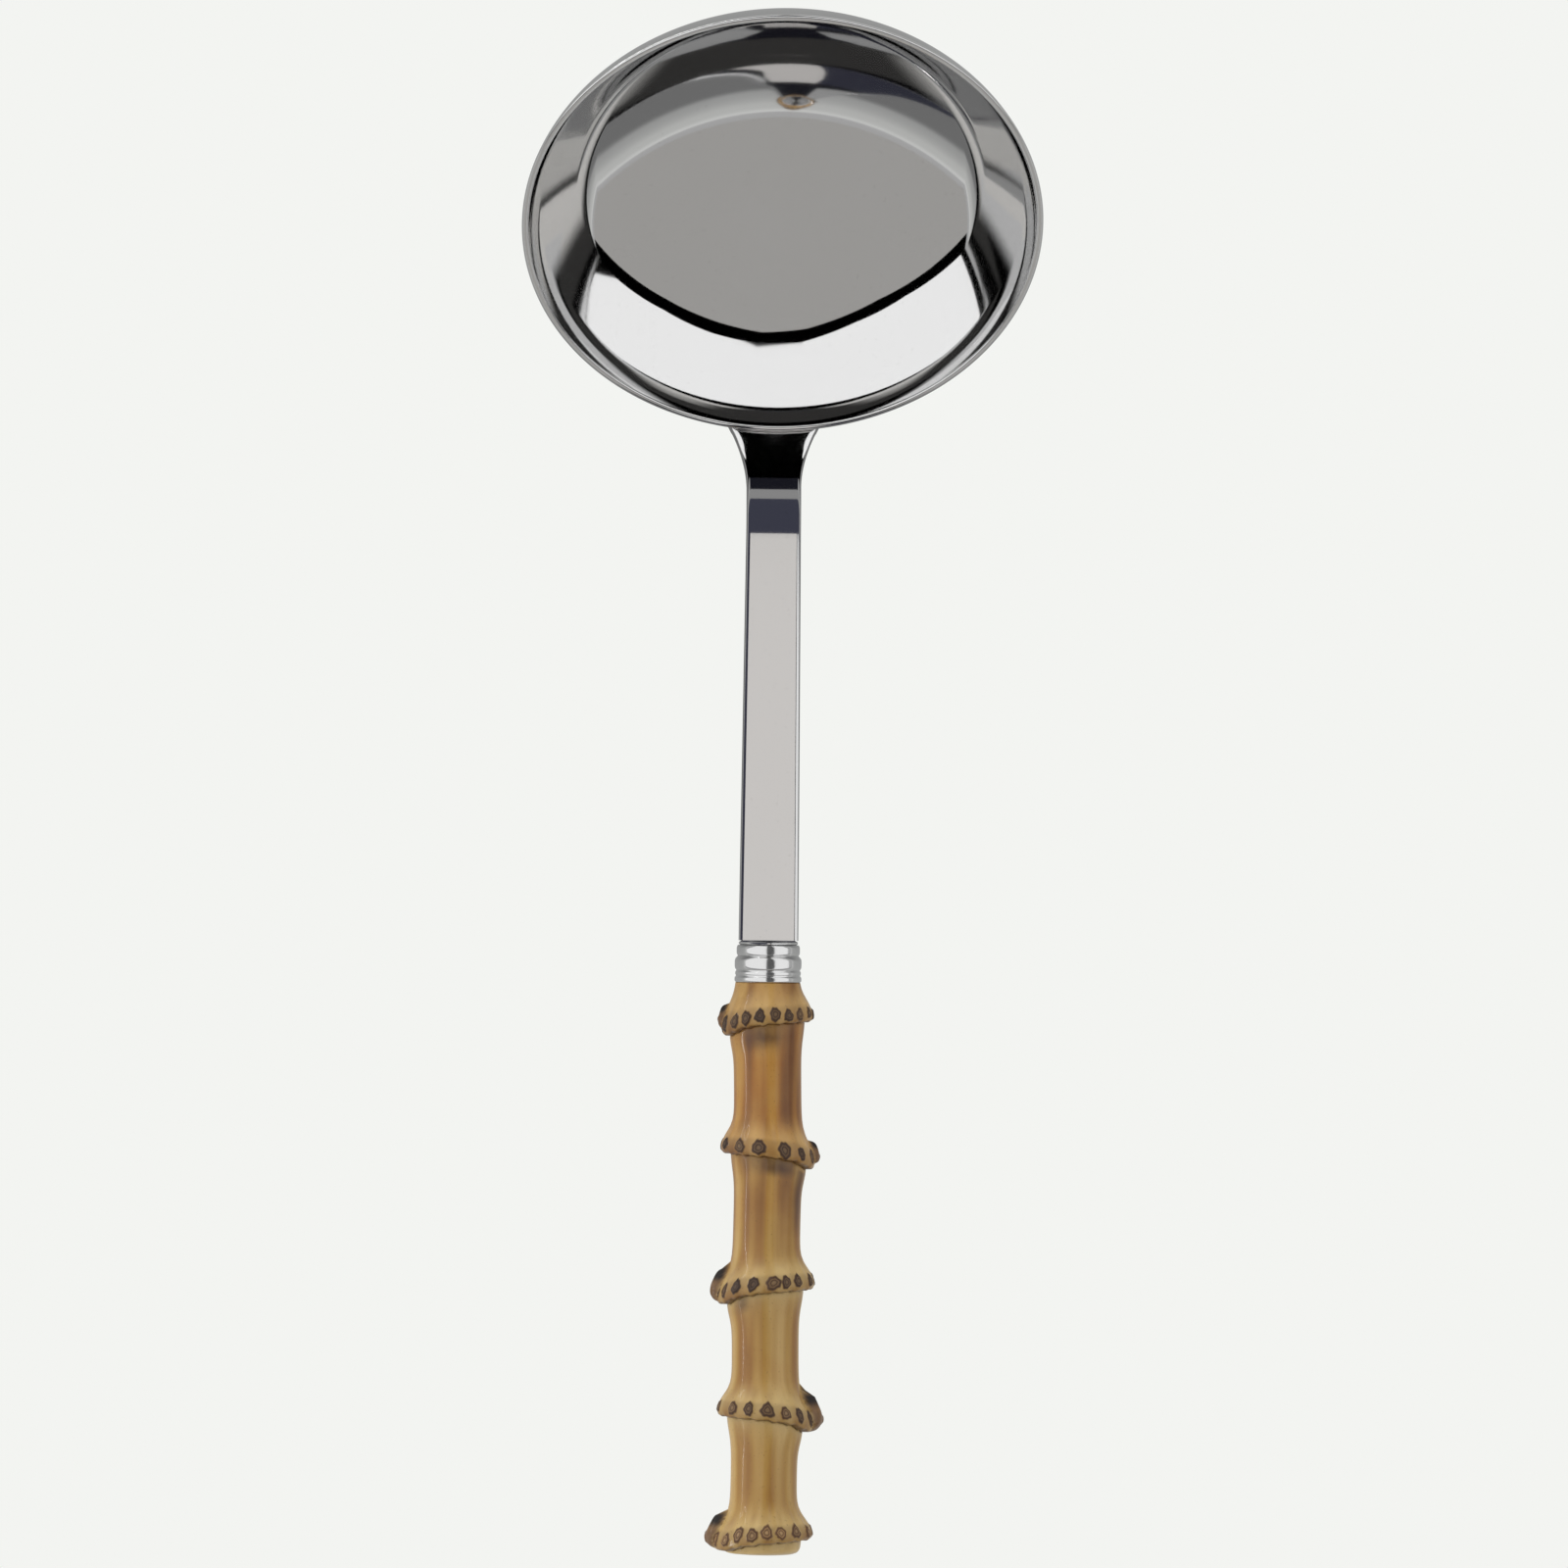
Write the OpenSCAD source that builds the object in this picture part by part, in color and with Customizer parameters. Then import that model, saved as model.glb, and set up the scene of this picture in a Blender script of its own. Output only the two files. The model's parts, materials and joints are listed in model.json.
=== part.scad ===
// Soup ladle with a polished steel bowl and stem and a bamboo root handle.
// All sizes are in millimetres. The ladle lies on a table at z = 0, the way it is put
// down: the bowl points to +Y, the handle to -Y, and the bowl's mouth faces up.

/* [Bowl] */
// Diameter over the rim
rim_d = 100; // [88:1:115]
// Depth from the rim's edge to the inside of the floor
bowl_depth = 27; // [25:0.5:29]
// Thickness of the drawn steel sheet
sheet = 1.3; // [0.8:0.1:2]
// Slope at which the round floor runs into the bend, in degrees
floor_turn = 30; // [27:1:33]
// Radius of the bend between the floor and the wall
knuckle_r = 15.5; // [10:0.5:18]
// Slope at which the bend runs into the wall, in degrees
knuckle_turn = 48; // [46:1:51]
// Slope of the wall at the rim, in degrees
wall_turn = 64.3; // [62:0.1:68]

/* [Stem] */
// Thickness of the stem's flat bar
stem_t = 2.6; // [1.8:0.1:4]
// Width of the stem where it meets the ferrule
stem_w_low = 11.6; // [9:0.1:12]
// Width of the stem at the start of the neck
stem_w_high = 10.6; // [8:0.1:12]
// Straight length from the ferrule to the neck
stem_straight = 79; // [40:1:160]
// Radius of the neck's downward bend
neck_r = 25; // [15:1:40]
// Length from the end of the bend to the rim's edge
neck_run = 10.8; // [7:0.1:14]
// Angle between the rim and the stem, in degrees
rim_tilt = 40.3; // [37:0.1:44]
// Width of the fishtail at the bowl's wall
fishtail_w = 21; // [16:0.5:30]
// Radius of the hollow curve on each side of the fishtail
fishtail_r = 22; // [16:1:40]
// Length of the fishtail outside the rim
fishtail_len = 12; // [6:0.5:16]
// Length of the fishtail's lap on the bowl's wall
lap_len = 10; // [8:0.5:11]
// Thickness of the fishtail's feathered end
feather_t = 0.9; // [0.8:0.1:1.4]
// Leg of the weld's fillet round the fishtail
weld_leg = 0.7; // [0.4:0.1:0.7]

/* [Ferrule] */
// Height of the ferrule
ferrule_h = 8.2; // [6:0.1:14]
// Diameter over the ferrule's largest bead
ferrule_d = 13; // [12.6:0.1:16]
// Depth of the grooves between the beads
groove = 0.3; // [0.1:0.05:0.4]
// Thickness of the ferrule's wall under a groove
ferrule_wall = 0.6; // [0.4:0.1:1]
// Thickness of the ferrule's closed top
ferrule_top = 1.2; // [0.8:0.1:2]

/* [Tang] */
// Width of the tang
tang_w = 5.6; // [4:0.1:6]
// Length of the tang below the ferrule
tang_len = 58; // [30:1:75]
// Diameter of the hole drilled for the tang
bore_d = 7; // [6.8:0.1:8]
// Clearance of the tang in its slot and of the tenon in the ferrule
fit_gap = 0.1; // [0.05:0.01:0.2]

/* [Bamboo handle] */
// Number of knots
knot_count = 5; // [4:1:6]
// Distance from the ferrule to the first leaf scar
knot_first = 7.9; // [7.5:0.1:12]
// Distance between leaf scars
knot_pitch = 25.2; // [22:0.2:30]
// Diameter over a knot's ring
knot_d = 18.4; // [16:0.1:22]
// Diameter at the waist of a joint between two knots
waist_d = 13; // [11.5:0.1:15]
// Length of the tail left below the last scar
tail_len = 2.4; // [1.6:0.1:6]
// Height of a trimmed root stub over its knot
stub_h = 0.4; // [0.2:0.1:0.8]
// Diameter of a root stub
stub_d = 1.8; // [1:0.1:2.4]
// Number of root stubs round a knot
stub_count = 12; // [8:1:14]
// Slope of the leaf scars, in degrees
scar_slant = 8; // [0:1:10]
// Radius of the largest bud
bud_r = 2.4; // [1:0.1:3]

/* [Hidden] */
$fn = 96;
steel = [0.72, 0.72, 0.73];
bamboo = [0.71, 0.55, 0.32];
resin = [0.78, 0.70, 0.52];
far = 60;

// The bowl's section: a round floor, a closer bend and a flared wall that run smoothly
// into each other, with the rim's edge rounded over. These values follow the middle of the
// sheet, and the radii of floor and wall come from what the bend leaves of width and depth.
half = sheet / 2;
rim_r = rim_d / 2;
wall_r = rim_r - half;
floor_low = -bowl_depth - half;
knuckle_run = knuckle_r * (sin(knuckle_turn) - sin(floor_turn));
knuckle_rise = knuckle_r * (cos(floor_turn) - cos(knuckle_turn));
flank_run = sin(wall_turn) - sin(knuckle_turn);
flank_rise = cos(knuckle_turn) - cos(wall_turn);
floor_rise = 1 - cos(floor_turn);
arc_det = sin(floor_turn) * flank_rise - flank_run * floor_rise;
floor_r = ((wall_r - knuckle_run) * flank_rise - (bowl_depth - knuckle_rise) * flank_run)
    / arc_det;
flank_r = ((bowl_depth - knuckle_rise) * sin(floor_turn) - (wall_r - knuckle_run) * floor_rise)
    / arc_det;

// The ladle is drawn with the handle's axis on Z, the ferrule's lower edge at z = 0, the
// tail at +Z and the face side at +Y. Pairs of numbers below are [y, z] in that frame.
stem_z = -ferrule_h;
neck_z = stem_z - stem_straight;
neck_turn = wall_turn - rim_tilt;
bend_end = [-neck_r * (1 - cos(neck_turn)), neck_z - neck_r * sin(neck_turn)];
run_along = [-sin(neck_turn), -cos(neck_turn)];
run_up = [cos(neck_turn), -sin(neck_turn)];
rim_up = [cos(rim_tilt), sin(rim_tilt)];
rim_out = [-sin(rim_tilt), cos(rim_tilt)];
edge_at = bend_end + neck_run * run_along + (stem_t / 2 + half) * run_up;
rim_at = edge_at - (rim_r - half) * rim_out + half * rim_up;

// Places and sizes of the knots, which wander as a natural root does.
knot_shift = [0, 0.5, 1.6, 1.1, -0.2, 0.6];
knot_sway = [0, 0, 0.5, 0.2, 0.5, 0.4, 0.4, 0.4];
knot_swell = [0.96, 0.99, 1.03, 1.03, 1.06, 1];
bud_side = [-1, 1, -1, 1, -1, 1];
bud_size = [0.5, 0.55, 0.8, 1, 0.9, 0.6];
last = knot_count - 1;
scar_z = [for (i = [0:last]) knot_first + i * knot_pitch + knot_shift[i]];
handle_len = scar_z[last] + tail_len;
ring_above = 1.9;
flare_below = 2.8;
flare_above = 4.9;
soft_below = 1.35;
soft_above = 1.5;

// The slope of the wall at the end of the fishtail's lap, and where its back starts to thin.
lap_end = wall_turn - lap_len / flank_r * 180 / PI;
lap_thin = (wall_turn + lap_end) / 2;

neck_d = 12.2;

// The ferrule's hollow and the tenon in it.
cavity_r = ferrule_d / 2 - groove - ferrule_wall;
tenon_h = ferrule_h - ferrule_top - 1.5;

// The lean that brings the bowl and the last knot down on the table together.
function low_bowl(a) =
    min([for (k = [-50:50])
        let (p = under_bowl(k * wall_turn / 50, half)) p[0] * cos(a) - p[1] * sin(a)]);
function low_knot(a) =
    let (z = scar_z[last] - ring_above)
    -z * sin(a) - (joint_r(last, z) + stub_h) * cos(a);
function lean_after(a, turns) =
    turns == 0 ? a
    : lean_after(a + atan((low_knot(a) - low_bowl(a)) / (handle_len - rim_at[1])), turns - 1);
lean = lean_after(0, 8);
bowl_end = max([for (k = [0:0.2:wall_turn])
    let (p = under_bowl(-k, half)) -p[1] * cos(lean) - p[0] * sin(lean)]);
tail_end = -handle_len * cos(lean) - joint_r(last + 1, handle_len) * sin(lean);
mid_y = (bowl_end + tail_end) / 2;

// Radius of joint i at distance z below the ferrule: a waist that flares into its knots.
function flare(x) = 1 / (1 + exp(-x));
function knot_r(i) = knot_d / 2 * knot_swell[i];
function waist_r(i) = (i == 0 ? neck_d : waist_d) / 2;
function joint_r(i, z) =
    let (w = waist_r(i))
    w
    + (i == 0 ? 0
        : 0.93 * (knot_r(i - 1) - w) * flare((scar_z[i - 1] + flare_below - z) / soft_below))
    + (i > last ? 0
        : 1.04 * (knot_r(i) - w) * flare((z - scar_z[i] + flare_above) / soft_above));

// The middle of the bowl's sheet, as [radius, height], where its slope is a.
function wall_mid(a) =
    let (f = min(a, floor_turn),
         k = min(max(a, floor_turn), knuckle_turn),
         w = max(a, knuckle_turn))
    [floor_r * sin(f)
        + knuckle_r * (sin(k) - sin(floor_turn))
        + flank_r * (sin(w) - sin(knuckle_turn)),
     floor_low + floor_r * (1 - cos(f))
        + knuckle_r * (cos(floor_turn) - cos(k))
        + flank_r * (cos(knuckle_turn) - cos(w))];

// One face of the bowl, a distance `off` outside the middle of the sheet.
function wall_at(a, off) = wall_mid(a) + off * [sin(a), -cos(a)];
function wall_face(off) = [for (k = [0:32]) wall_at(k * wall_turn / 32, off)];

// The rounded edge of the rim, from the outside to the inside.
function rim_edge() =
    [for (k = [1:7])
        let (a = wall_turn - 90 + k * 22.5)
        wall_mid(wall_turn) + half * [cos(a), sin(a)]];

function reversed(list) = [for (i = [len(list) - 1:-1:0]) list[i]];

// A point of the bowl's middle plane, as [y, z], where its slope is a and a distance `off`
// outside the middle of the sheet. Negative slopes are on the side away from the stem.
function under_bowl(a, off) =
    let (p = wall_at(abs(a), off))
    rim_at + sign(a) * p[0] * rim_out + p[1] * rim_up;

// The bar up to the end of the neck's bend, `side` above its middle, as [y, z].
function bar_bent(side) =
    concat(
        [[side, stem_z]],
        [for (k = [0:8])
            let (a = neck_turn * k / 8)
            [(neck_r + side) * cos(a) - neck_r, neck_z - (neck_r + side) * sin(a)]]);

// The side view of the bar, as [y, z]. Past the rim's edge its face side runs inside the
// wall, to be cut off there, and its back thins towards the feathered end.
function bar_profile() =
    let (top = stem_t / 2)
    concat(
        bar_bent(top),
        [bend_end + (neck_run + 1) * run_along + top * run_up,
         under_bowl(lap_thin, 0), under_bowl(lap_end, 0),
         under_bowl(lap_end, half + 1.2 * feather_t), under_bowl(lap_thin, half + 1.5 * feather_t)],
        reversed(bar_bent(-top)));

// One side of the stem's front view, as [x, z], grown by `grow`.
function bar_side(grow) =
    let (start = edge_at[1] + fishtail_len,
         end = under_bowl(lap_end, half)[1] - grow,
         reach = fishtail_w / 2 - stem_w_high / 2,
         sweep = acos(1 - reach / fishtail_r),
         corner = fishtail_w / 3)
    concat(
        [[stem_w_low / 2 + grow, stem_z], [stem_w_high / 2 + grow, neck_z]],
        [for (k = [0:8])
            let (a = sweep * k / 8)
            [stem_w_high / 2 + grow + fishtail_r * (1 - cos(a)), start - fishtail_r * sin(a)]],
        [for (a = [0:15:90])
            [fishtail_w / 2 + grow - corner * (1 - cos(a)), end + corner * (1 - sin(a))]]);

// A bead of the ferrule, from height a to b of its full height, bulging to radius r.
function bead(a, b, r, bulge) =
    [for (k = [0:6])
        let (t = k / 6)
        [r - bulge * pow(2 * t - 1, 2), (a + (b - a) * t - 1) * ferrule_h]];

module lay_down() {
    translate([0, -mid_y, -low_knot(lean)])
        rotate([90 + lean, 0, 0])
            children();
}

module in_bowl() {
    translate([0, rim_at[0], rim_at[1]])
        rotate([rim_tilt - 90, 0, 0])
            children();
}

// Everything inside the bowl's outer face, the rim's edge included.
module bowl_body() {
    in_bowl()
        rotate_extrude()
            polygon(concat(wall_face(half), [[rim_r, -half], [rim_r, sheet], [0, sheet]]));
}

// A layer of thickness t on the outside of the bowl's wall.
module wall_layer(t) {
    difference() {
        in_bowl()
            rotate_extrude()
                polygon(concat(wall_face(half + t), [[0, wall_at(wall_turn, half + t)[1]]]));
        bowl_body();
    }
}

// The stem's front view, grown by `grow` and drawn out through the whole depth.
module bar_outline(grow = 0) {
    side = bar_side(grow);
    rotate([90, 0, 0])
        linear_extrude(height = 2 * far, center = true)
            polygon(concat(side, [for (p = reversed(side)) [-p[0], p[1]]]));
}

// The stem's bar with its fishtail, which is formed round the bowl's wall.
module bar() {
    difference() {
        intersection() {
            rotate([90, 0, 90])
                linear_extrude(height = far, center = true)
                    polygon(bar_profile());
            bar_outline();
        }
        bowl_body();
    }
    intersection() {
        bar_outline();
        wall_layer(feather_t);
    }
}

module bowl() {
    color(steel)
        in_bowl()
            rotate_extrude()
                polygon(concat(wall_face(half), rim_edge(), reversed(wall_face(-half))));
}

module tang() {
    tip = 4;
    rotate([90, 0, 0])
        linear_extrude(height = stem_t, center = true)
            polygon([
                [-tang_w / 2, stem_z], [tang_w / 2, stem_z], [tang_w / 2, tang_len - tip],
                [tang_w / 4, tang_len], [-tang_w / 4, tang_len], [-tang_w / 2, tang_len - tip]]);
}

module stem() {
    color(steel) {
        bar();
        tang();
    }
}

// The polished fillet of weld that runs round the fishtail on the bowl's wall.
module weld_fillet() {
    color(steel)
        difference() {
            intersection() {
                bar_outline(weld_leg);
                wall_layer(weld_leg);
            }
            bar();
        }
}

module ferrule() {
    r = ferrule_d / 2;
    slot = [tang_w + 2 * fit_gap, stem_t + 2 * fit_gap];
    color(steel)
        difference() {
            rotate_extrude()
                polygon(concat(
                    [[0, -ferrule_h]],
                    [[r - 1, -ferrule_h], [r - 0.65, 0.04 * ferrule_h - ferrule_h]],
                    bead(0.1, 0.35, r - 0.3, 0.1),
                    [[r - groove, -0.62 * ferrule_h]],
                    bead(0.41, 0.68, r, 0.2),
                    [[r - groove, -0.3 * ferrule_h]],
                    bead(0.73, 0.81, r - 0.1, 0.12),
                    [[r - groove, -0.17 * ferrule_h]],
                    bead(0.85, 0.97, r, 0.15),
                    [[r - groove, 0], [0, 0]]));
            translate([0, 0, ferrule_top - ferrule_h])
                cylinder(r = cavity_r, h = ferrule_h);
            translate([0, 0, -ferrule_h])
                linear_extrude(height = 3 * ferrule_top, center = true)
                    square(slot, center = true);
        }
}

module tang_cement() {
    color(resin)
        difference() {
            union() {
                translate([0, 0, -tenon_h])
                    cylinder(d = bore_d, h = tenon_h + tang_len + 2);
                translate([0, 0, ferrule_top - ferrule_h])
                    cylinder(r = cavity_r, h = ferrule_h - ferrule_top - tenon_h);
            }
            tang();
        }
}

// Turns and shifts a joint so that it runs from one knot's sway to the next one's.
module swayed(i) {
    top = i == 0 ? 0 : scar_z[i - 1];
    low = i > last ? handle_len : scar_z[i];
    translate([knot_sway[i], 0, top])
        rotate([0, atan((knot_sway[i + 1] - knot_sway[i]) / (low - top)), 0])
            translate([0, 0, -top])
                children();
}

// One joint of the root, cut at its leaf scar on a slant that dips under the bud.
module joint(i) {
    z0 = i == 0 ? 0 : scar_z[i - 1] - 1.4;
    z1 = i > last ? handle_len : scar_z[i] + 2;
    steps = i > last ? 5 : 26;
    difference() {
        rotate_extrude()
            polygon(concat(
                [[0, z0]],
                [for (k = [0:steps])
                    let (z = z0 + (z1 - z0) * k / steps)
                    [joint_r(i, z), z]],
                [[0, z1]]));
        if (i <= last)
            translate([0, 0, scar_z[i]])
                rotate([0, -bud_side[i] * scar_slant, 0])
                    translate([-far / 2, -far / 2, 0])
                        cube([far, far, far]);
    }
}

// The ring of trimmed roots just above a leaf scar.
module stubs(i) {
    for (k = [0:stub_count - 1]) {
        a = 360 * k / stub_count - 90;
        z = scar_z[i] - ring_above + bud_side[i] * cos(a) * tan(scar_slant) * knot_r(i);
        d = stub_d * (1 + 0.2 * sin(137 * k + 60 * i));
        rotate([0, 0, a])
            translate([joint_r(i, z) - 1.2, 0, z])
                rotate([0, 90, 0])
                    cylinder(d = d, h = 1.2 + stub_h, $fn = 24);
    }
}

// A dormant bud, a drop with its tip towards the ferrule.
module bud(i) {
    r = bud_r * bud_size[i];
    translate([bud_side[i] * (knot_r(i) - 0.45 * r), 0, scar_z[i] - 2.2 - 0.6 * r])
        rotate_extrude()
            polygon([for (a = [0:15:180]) [r * sin(a) * pow(sin(a / 2), 0.8), -1.7 * r * cos(a)]]);
}

module handle() {
    color(bamboo)
        difference() {
            union() {
                translate([0, 0, -tenon_h])
                    cylinder(r = cavity_r - fit_gap, h = tenon_h + 2);
                for (i = [0:last]) {
                    swayed(i) {
                        joint(i);
                        stubs(i);
                        bud(i);
                    }
                }
                swayed(last + 1)
                    joint(last + 1);
            }
            translate([0, 0, -tenon_h - 1])
                cylinder(d = bore_d, h = tenon_h + 1 + tang_len + 2);
        }
}

lay_down() bowl();
lay_down() stem();
lay_down() weld_fillet();
lay_down() ferrule();
lay_down() tang_cement();
lay_down() handle();
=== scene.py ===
"""Soup ladle: a polished steel bowl on a flat fishtail stem, a beaded ferrule and a bamboo root handle.

Shapes are worked out in millimetres in the handle's own frame: x to the right, y up from the face
side, z down the handle from the ferrule's lower edge, so that the bowl lies at negative z.
place() carries them to the shared frame with the handle_end mount of the record.
"""
import json
import math

import bpy
import numpy as np
from mathutils import Matrix, Vector


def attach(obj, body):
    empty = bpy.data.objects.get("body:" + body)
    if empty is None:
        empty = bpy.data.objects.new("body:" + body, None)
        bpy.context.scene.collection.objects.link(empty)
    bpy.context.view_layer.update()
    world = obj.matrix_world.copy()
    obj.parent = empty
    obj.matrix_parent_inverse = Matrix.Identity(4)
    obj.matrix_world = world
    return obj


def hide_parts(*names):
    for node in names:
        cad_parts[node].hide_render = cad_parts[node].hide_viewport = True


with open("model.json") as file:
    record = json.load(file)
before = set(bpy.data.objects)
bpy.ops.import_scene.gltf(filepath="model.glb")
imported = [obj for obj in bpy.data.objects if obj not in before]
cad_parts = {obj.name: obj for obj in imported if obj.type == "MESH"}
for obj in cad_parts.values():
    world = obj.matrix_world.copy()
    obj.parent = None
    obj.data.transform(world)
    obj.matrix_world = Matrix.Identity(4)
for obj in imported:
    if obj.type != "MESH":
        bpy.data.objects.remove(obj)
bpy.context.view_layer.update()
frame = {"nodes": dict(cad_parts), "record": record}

MM = 0.001
TURN = 2 * math.pi

# The CAD part's own sizes, in millimetres and degrees.
RIM_R, BOWL_DEPTH, SHEET, KNUCKLE_R = 50.0, 27.0, 1.3, 15.5
FLOOR_TURN, KNUCKLE_TURN, WALL_TURN = math.radians(30), math.radians(48), math.radians(64.3)
RIM_TILT = math.radians(40.3)
STEM_T, STEM_W_LOW, STEM_W_HIGH = 2.6, 11.6, 10.6
STEM_STRAIGHT, NECK_R, NECK_RUN = 79.0, 25.0, 10.8
FISHTAIL_W, FISHTAIL_R, FISHTAIL_LEN, LAP_LEN, FEATHER_T = 21.0, 22.0, 12.0, 10.0, 0.9
FERRULE_H, FERRULE_D, FERRULE_TOP, CAVITY_R = 8.2, 13.0, 1.2, 5.6
TANG_W, TANG_LEN, BORE_R, TENON_H = 5.6, 58.0, 3.5, 5.5
KNOT_D, WAIST_D, NECK_D, TAIL_LEN = 18.4, 13.0, 12.2, 2.4
SCARS = np.array([7.9, 33.6, 59.9, 84.6, 108.5])
SWELL = np.array([0.96, 0.99, 1.03, 1.03, 1.06])
SWAY = np.array([0.0, 0.0, 0.5, 0.2, 0.5, 0.4, 0.4])
BUD_SIDE = np.array([-1, 1, -1, 1, -1])
BUD_R = 2.4 * np.array([0.5, 0.55, 0.8, 1.0, 0.9])
SCAR_SLANT = math.tan(math.radians(8))
HANDLE_LEN = SCARS[-1] + TAIL_LEN
KNOT_R = KNOT_D / 2 * SWELL

mount = frame["record"]["mounts"][0]
DOWN = np.array(mount["axis"]) / np.linalg.norm(mount["axis"])
UP = np.array([0.0, DOWN[2], -DOWN[1]])
SIDE = np.array([1.0, 0.0, 0.0])
ORIGIN = np.array(mount["pos_m"]) - MM * (SWAY[-1] * SIDE + HANDLE_LEN * DOWN)


def place(points):
    """Handle frame in millimetres to the shared frame in metres."""
    return ORIGIN + MM * (points[..., 0:1] * SIDE + points[..., 1:2] * UP + points[..., 2:3] * DOWN)


def step(edge0, edge1, value):
    """Smooth step from 0 at edge0 to 1 at edge1."""
    t = np.clip((value - edge0) / (edge1 - edge0), 0, 1)
    return t * t * (3 - 2 * t)


def bell(value, width):
    """Gauss bell of height 1 and the given half width."""
    return np.exp(-((value / width) ** 2))


def sigmoid(value):
    """Smooth rise from 0 to 1 that is a half where the value is 0."""
    return 1 / (1 + np.exp(-value))


def shell(rows, first, last):
    """A tube through rows of points, each row closed on itself, with a fan to a pole at either end.

    Returns points, quads and triangles, turned so that the faces look outward.
    """
    n, m = rows.shape[:2]
    points = np.vstack([rows.reshape(-1, 3), first, last])
    here = np.arange(n * m).reshape(n, m)
    beside = np.roll(here, -1, axis=1)
    quads = np.stack([here[:-1], beside[:-1], beside[1:], here[1:]], -1).reshape(-1, 4)
    head = np.stack([np.full(m, n * m), beside[0], here[0]], -1)
    foot = np.stack([np.full(m, n * m + 1), here[-1], beside[-1]], -1)
    triangles = np.vstack([head, foot])
    a, b, c, d = (points[quads[:, k]] for k in range(4))
    volume = np.einsum("ij,ij->i", a, np.cross(b, c) + np.cross(c, d)).sum()
    e, f, g = (points[triangles[:, k]] for k in range(3))
    volume += np.einsum("ij,ij->i", e, np.cross(f, g)).sum()
    if volume < 0:
        quads, triangles = quads[:, ::-1], triangles[:, ::-1]
    return points, quads, triangles


def piece(name, shells, node, material, marks=None, sharp=40):
    """One object from one or more shells, riding on the root body in place of a CAD node.

    marks holds per-point colour attributes, given for the rows of the only shell.
    """
    points, faces, base = [], [], 0
    for part, quads, triangles in shells:
        points.append(part)
        faces += (quads + base).tolist() + (triangles + base).tolist()
        base += len(part)
    mesh = bpy.data.meshes.new(name)
    mesh.from_pydata(place(np.vstack(points)).tolist(), [], faces)
    mesh.polygons.foreach_set("use_smooth", np.ones(len(mesh.polygons), bool))
    mesh.set_sharp_from_angle(angle=math.radians(sharp))
    for title, values in (marks or {}).items():
        layer = mesh.attributes.new(title, "FLOAT_COLOR", "POINT")
        colours = np.zeros((base, 4), np.float32)
        colours[:, 3] = 1
        flat = values.reshape(-1, 3)
        colours[: len(flat), :3] = flat
        layer.data.foreach_set("color", colours.ravel())
    mesh.materials.append(material)
    made = bpy.data.objects.new(name, mesh)
    bpy.context.scene.collection.objects.link(made)
    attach(made, "root")
    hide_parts(node)


# Materials

# Depth of the polish lines in the steel and of the fibres in the bamboo, in metres.
POLISH_DEPTH, FIBRE_DEPTH = 0.00002, 0.00012


def srgb(red, green, blue):
    """Display colour from 0 to 255 as a linear colour."""
    values = np.array([red, green, blue]) / 255
    linear = np.where(values <= 0.04045, values / 12.92, ((values + 0.055) / 1.055) ** 2.4)
    return (*linear.tolist(), 1.0)


def set_inputs(tree, node, inputs):
    """Inputs of a node, linked from sockets or set to values."""
    for key, value in inputs.items():
        if isinstance(value, bpy.types.NodeSocket):
            tree.links.new(value, node.inputs[key])
        else:
            node.inputs[key].default_value = value


def put(tree, kind, inputs=None, **settings):
    """A new node with its settings and inputs."""
    made = tree.nodes.new(kind)
    for key, value in settings.items():
        setattr(made, key, value)
    set_inputs(tree, made, inputs or {})
    return made


def mix(tree, factor, a, b, blend="MIX"):
    """Colour a turned into b by the factor."""
    made = put(tree, "ShaderNodeMix", {0: factor, 6: a, 7: b}, data_type="RGBA", blend_type=blend)
    return made.outputs[2]


def math_node(tree, operation, a, b=0.0, clamp=False):
    """One operation on one or two values."""
    return put(tree, "ShaderNodeMath", {0: a, 1: b}, operation=operation, use_clamp=clamp).outputs[0]


def vector_node(tree, operation, a, b=(0.0, 0.0, 0.0)):
    """One operation on one or two vectors."""
    return put(tree, "ShaderNodeVectorMath", {0: a, 1: b}, operation=operation).outputs


def noise(tree, where, scale, detail, roughness=0.5):
    """Soft noise over a place, from 0 to 1."""
    inputs = {"Vector": where, "Scale": scale, "Detail": detail, "Roughness": roughness}
    return put(tree, "ShaderNodeTexNoise", inputs).outputs[0]


def remap(tree, value, low, high, to_low=0.0, to_high=1.0):
    """Smooth step of a value from one range to another."""
    return put(
        tree,
        "ShaderNodeMapRange",
        {"Value": value, "From Min": low, "From Max": high, "To Min": to_low, "To Max": to_high},
        interpolation_type="SMOOTHSTEP",
    ).outputs[0]


def ramp(tree, factor, stops):
    """Colour ramp through (position, colour) stops."""
    made = put(tree, "ShaderNodeValToRGB", {"Fac": factor})
    elements = made.color_ramp.elements
    for k, (position, colour) in enumerate(stops):
        element = elements[k] if k < 2 else elements.new(position)
        element.position = position
        element.color = colour
    return made.outputs[0]


def new_group(name, inputs, outputs):
    """Node group with (name, kind, default) inputs and (name, kind) outputs, and its two end nodes."""
    tree = bpy.data.node_groups.new(name, "ShaderNodeTree")
    for title, kind, default in inputs:
        socket = tree.interface.new_socket(title, in_out="INPUT", socket_type=kind)
        socket.default_value = default
    for title, kind in outputs:
        tree.interface.new_socket(title, in_out="OUTPUT", socket_type=kind)
    return tree, tree.nodes.new("NodeGroupInput"), tree.nodes.new("NodeGroupOutput")


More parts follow.
